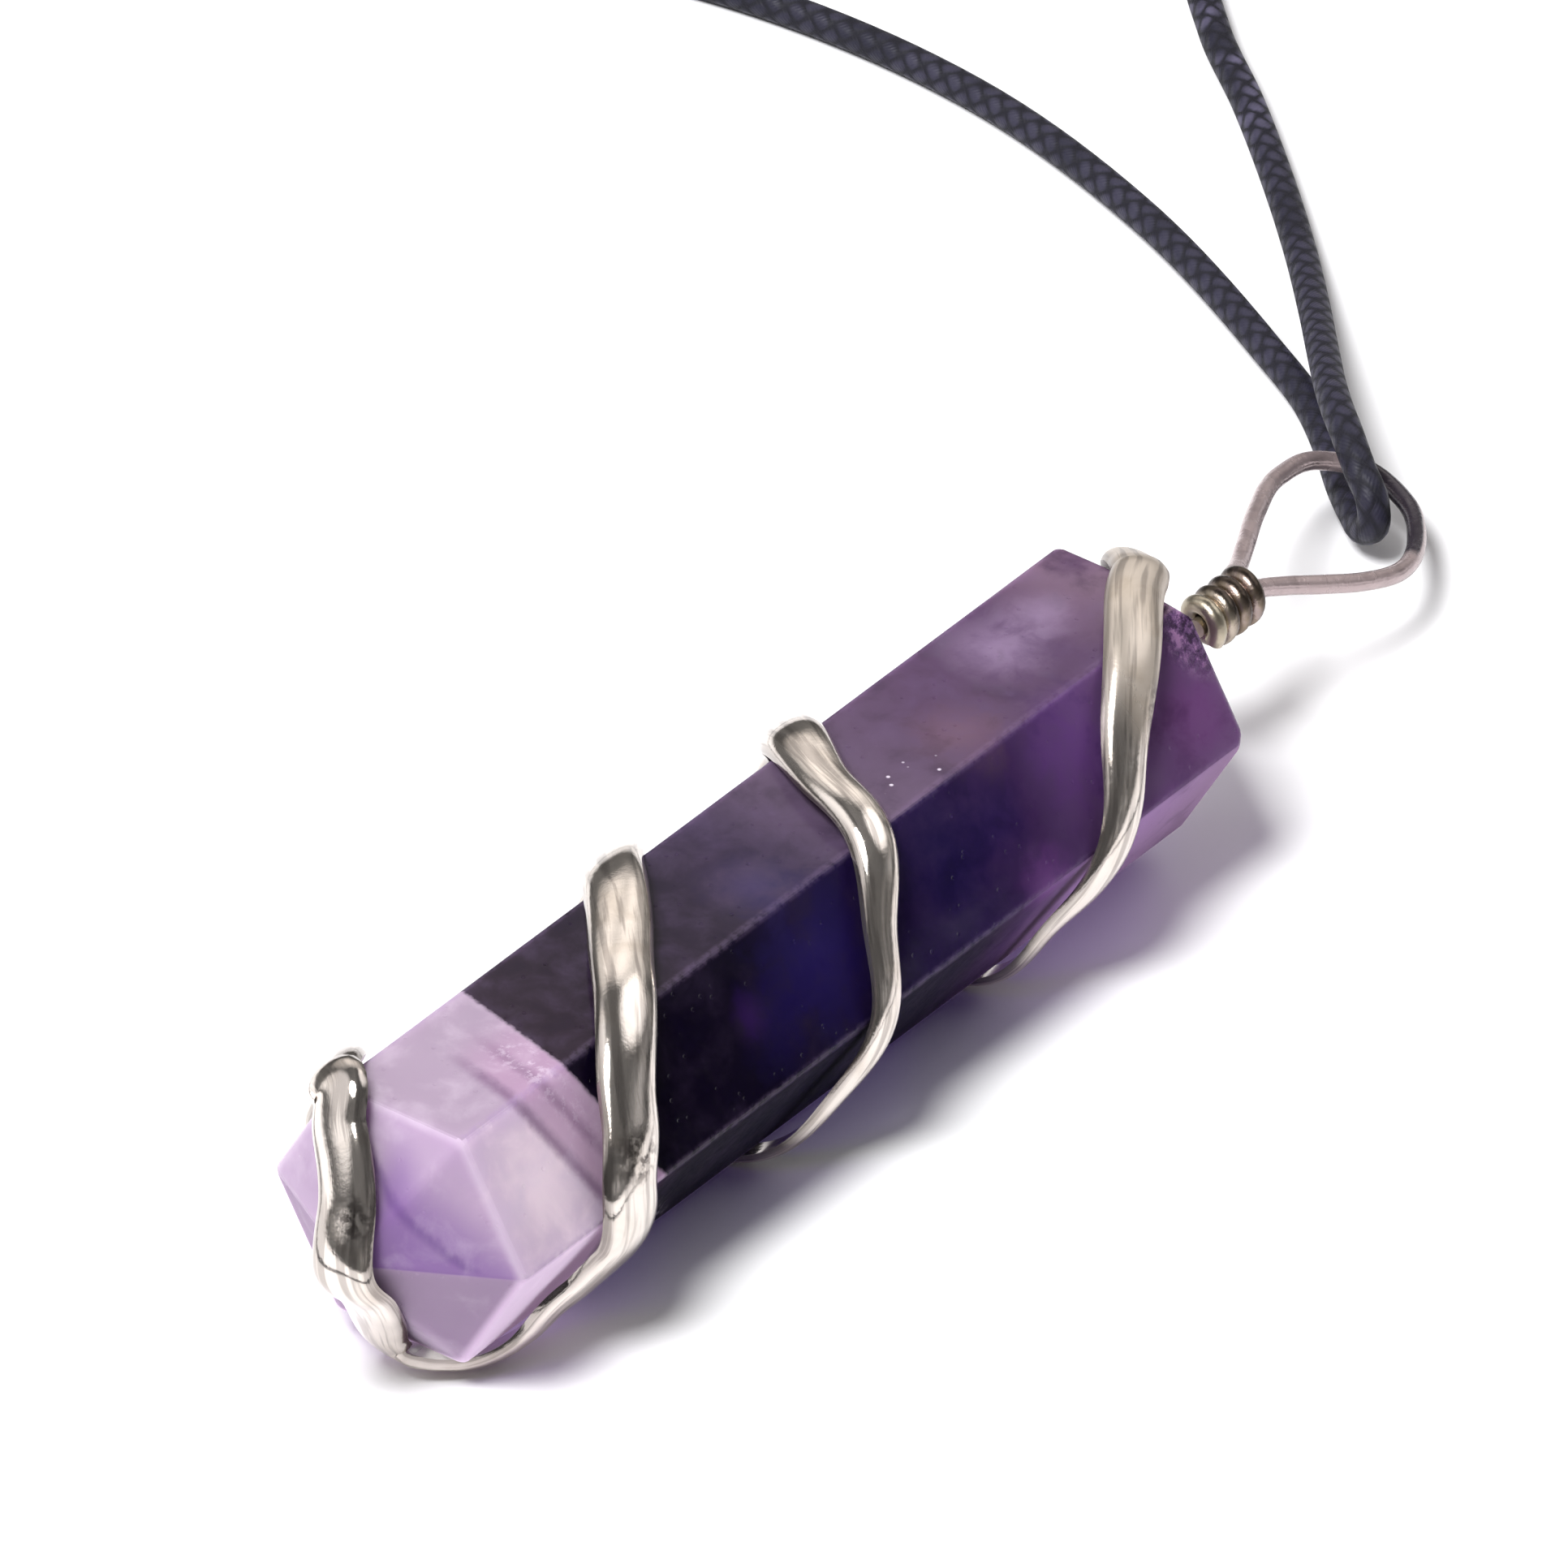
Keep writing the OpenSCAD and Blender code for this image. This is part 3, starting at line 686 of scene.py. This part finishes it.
def silverMaterial():
    material, flow, shader = newMaterial("wornSilver")
    place = stoneFrame(flow)
    along, left, high = place.split()
    roundIt, alongIt = flow.node("ShaderNodeTexCoord", out="UV").split()[:2]
    cloud = place.noise(0.5, 4.0, 0.55, 0.4)
    fine = place.noise(6.0, 4.0, 0.6)
    scratch = flow.node("ShaderNodeCombineXYZ", None, {0: roundIt * 9.0, 1: alongIt * 0.8})
    scratch = scratch.noise(2.2, 3.0, 0.6)
    # the head end of the band is matt and golden, the rest bright
    mattAlong, mattHigh = cage["matt"]
    matt = along.rise(*mattAlong) * high.rise(*mattHigh)
    crown = cage["aroundUv"] / 2
    rim = 1 - (roundIt - crown).hump(0.0, crown).rise(0.0, 0.35)
    colour = (cloud.rise(0.45, 0.75) * 0.28 + matt * 0.45).mix(cage["silver"], cage["tarnish"])
    # soot in long streaks, at the rims and in the stained places, which also carry painted dark reflection
    streak = flow.node("ShaderNodeCombineXYZ", None, {0: roundIt * 1.6, 1: alongIt * 0.12})
    streak = streak.noise(1.3, 3.0, 0.6)
    colour = (streak.rise(0.48, 0.6) * 0.42).mix(colour, cage["soot"])
    colour = (rim * 0.5).mix(colour, cage["soot"])
    mottle = place.noise(2.4, 4.0, 0.65).rise(0.42, 0.58)
    # mottled soot patches, partly stains and partly painted dark reflection
    for middle, reach in cage["stainsAndDarkReflections"]:
        near = place.farFrom(middle)
        colour = ((1 - near.rise(reach * 0.4, reach)) * mottle * 0.8).mix(colour, cage["soot"])
    feed(shader, {
        "Base Color": colour,
        "Metallic": 0.9 - matt * 0.4,
        "Roughness": 0.09 + cloud.rise(0.4, 0.8) * 0.05 + matt * 0.2 + (scratch - 0.5) * 0.05,
        "Normal": (cloud * 0.5 + fine * 0.06 + scratch * 0.05).bump(0.3, 0.00015),
    })
    return material


bandPiece = makeCage()
bandPiece.data.materials.append(silverMaterial())
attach(bandPiece, "root")
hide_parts("spiral_cage")
print("band wound,", len(bandPiece.data.polygons), "faces")

# the loop at the head: stem, teardrop loop and wrap, all one wire
bail = {
    "thick": 0.7,
    "long": 14.8,
    "wide": 5.9,
    "turns": 3.5,
    "gap": 0.05,                  # between the wrap's turns
    "stemGap": 0.15,
    "startAngle": 150,
    "turn": 22, "fall": 14.9, "roll": 19,   # degrees the loop lies askew
    "sides": 18,
    "stepsToPoint": 10,
    "stepsToTurn": 30,
    # the teardrop, in shares of its length and width
    "outline": [
        (0.06, -0.05), (0.15, -0.17), (0.26, -0.35), (0.38, -0.53), (0.53, -0.67), (0.76, -0.63),
        (0.93, -0.43), (1, -0.13), (0.92, 0.14), (0.72, 0.28), (0.46, 0.25), (0.24, 0.17), (0.12, 0.13),
    ],
    "dark": (7.3, 10.3),          # points of the stem and outline that the painted shade on the far bend lies between
    "wrapStarts": 25.4,           # along the stone
    "wrapEnds": (28.0, 28.8),
    "wire": tint(190, 172, 172),
    "brass": tint(126, 112, 84),
    "soot": tint(40, 32, 28),
}


def makeBail():
    half = stone["shaft"] / 2 + stone["headHeight"]
    pitch = bail["thick"] + bail["gap"]
    start = half + bail["thick"] / 2
    neck = start + bail["turns"] * pitch
    turned = (Matrix.Rotation(math.radians(bail["turn"]), 3, "Z")
              @ Matrix.Rotation(math.radians(bail["fall"]), 3, "Y")
              @ Matrix.Rotation(math.radians(bail["roll"]), 3, "X"))
    stem = [Vector((x, 0, 0)) for x in (half + bail["stemGap"], (start + neck) / 2, neck)]
    loop = [turned @ Vector((x * bail["long"], y * bail["wide"], 0)) + Vector((neck, 0, 0))
            for x, y in bail["outline"]]
    wrap = []
    for k in range(int(bail["turns"] * bail["stepsToTurn"]) + 1):
        share = k / bail["stepsToTurn"]
        angle = math.radians(bail["startAngle"] - 360 * share)
        wrap.append(Vector((neck - share * pitch, -pitch * math.cos(angle), pitch * math.sin(angle))))
    path = smoothRun(stem + loop + [wrap[0]], bail["stepsToPoint"]) + wrap[1:]
    lengths = runLengths(path)
    bend = [lengths[round(bail["stepsToPoint"] * point)] for point in bail["dark"]]
    piece = sweptTube("bailWire", [inPlace(*p) / mm for p in path], bail["thick"], bail["sides"])
    smoothFaces(piece, 50)
    return piece, bend


def wireMaterial(bend):
    material, flow, shader = newMaterial("loopWire")
    place = stoneFrame(flow)
    along = place.split()[0]
    cloud = place.noise(0.9, 4.0, 0.6, 0.3)
    fine = place.noise(7.0, 3.0, 0.6)
    wrapped = 1 - along.rise(*bail["wrapEnds"])
    # soot between the wrap's turns
    wave = (along - bail["wrapStarts"]) * (2 * math.pi / (bail["thick"] + bail["gap"]))
    gaps = (flow.sum("SINE", wave) * 0.5 + 0.5) * wrapped
    colour = (wrapped * (0.3 + cloud.rise(0.35, 0.6) * 0.5)).mix(bail["wire"], bail["brass"])
    colour = (gaps * 0.85 + (1 - cloud.rise(0.25, 0.5)) * 0.25).mix(colour, bail["soot"])
    # painted shade and dark reflection of the cord on the far bend, all but its outer rim
    alongIt = flow.node("ShaderNodeTexCoord", out="UV").split()[1]
    first, last = bend
    bent = alongIt.rise(first, first + 0.8) * (1 - alongIt.rise(last - 0.8, last))
    sideways = flow.node("ShaderNodeTexCoord", out="Normal").split()[0]
    colour = (bent * (1 - sideways.rise(0.6, 0.85)) * 0.95).mix(colour, tint(30, 26, 40))
    # painted cream highlight where the wrap meets the stone
    colour = ((1 - along.rise(25.8, 26.4)) * 0.6).mix(colour, tint(214, 204, 182))
    feed(shader, {
        "Base Color": colour,
        "Metallic": 0.6 + wrapped * 0.35 - bent * 0.4,
        "Roughness": 0.2 + cloud.rise(0.4, 0.7) * 0.14 + wrapped * 0.06,
        "Normal": (cloud + fine * 0.06).bump(0.3, 0.0002),
    })
    return material


bailPiece, darkBend = makeBail()
bailPiece.data.materials.append(wireMaterial(darkBend))
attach(bailPiece, "root")
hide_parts("bail_loop")
print("loop bent and wrapped")


ground = {"size": 4.0, "drop": 0.00002, "pale": tint(250, 250, 252), "dull": tint(240, 240, 244)}   # in m


def makeFloor():
    bpy.ops.object.select_all(action="DESELECT")
    bpy.ops.mesh.primitive_plane_add(size=ground["size"], location=(0, 0, -ground["drop"]))
    floor = bpy.context.object
    floor.name = "paleFloor"
    material, flow, shader = newMaterial("paleFloor")
    grain = flow.node("ShaderNodeTexCoord", out="Object").noise(900, 3.0, 0.5)
    feed(shader, {
        "Base Color": (grain * 0.04).mix(ground["pale"], ground["dull"]),
        "Roughness": 0.75,
        "Specular IOR Level": 0.1,
    })
    floor.data.materials.append(material)


def makeLight():
    toLight = Vector(studio["keyFrom"]).normalized()
    bpy.ops.object.light_add(type="AREA", location=aim + toLight * studio["keyDistance"] * mm)
    key = bpy.context.object
    key.name = "keyLight"
    key.data.shape, key.data.size = "DISK", studio["keySize"] * mm
    key.data.energy = studio["keyPower"]
    key.rotation_euler = toLight.to_track_quat("Z", "Y").to_euler()
    sky = bpy.data.worlds.new("softRoom")
    sky.use_nodes = True
    bpy.context.scene.world = sky
    flow = Flow(sky.node_tree)
    look = flow.node("ShaderNodeTexCoord", out="Generated")
    x, y, z = look.split()
    # a dark room with a patchy strip low on the right and soft windows, warmer towards the back
    strip = z.hump(0.25, 0.3) * x.rise(-0.2, 0.5) * look.noise(4.0, 2.0, 0.5).rise(0.3, 0.65)
    glow = studio["room"] + z.rise(0.8, 0.98) * studio["ceiling"] + strip * studio["horizon"]
    for toward, glass, dark, light in studio["windows"]:
        facing = flow.node("ShaderNodeVectorMath", {"operation": "DOT_PRODUCT"},
                           {0: look, 1: Vector(toward).normalized()}, "Value")
        glow = glow + facing.rise(math.cos(math.radians(dark)), math.cos(math.radians(glass))) * light
    feed(sky.node_tree.nodes["Background"], {
        "Color": y.rise(0.2, 0.8).mix((1, 0.99, 1, 1), (1, 0.95, 0.9, 1)),
        "Strength": glow,
    })
    bpy.context.scene.view_settings.view_transform = "Standard"


makeFloor()
makeLight()
print("floor and light ready")
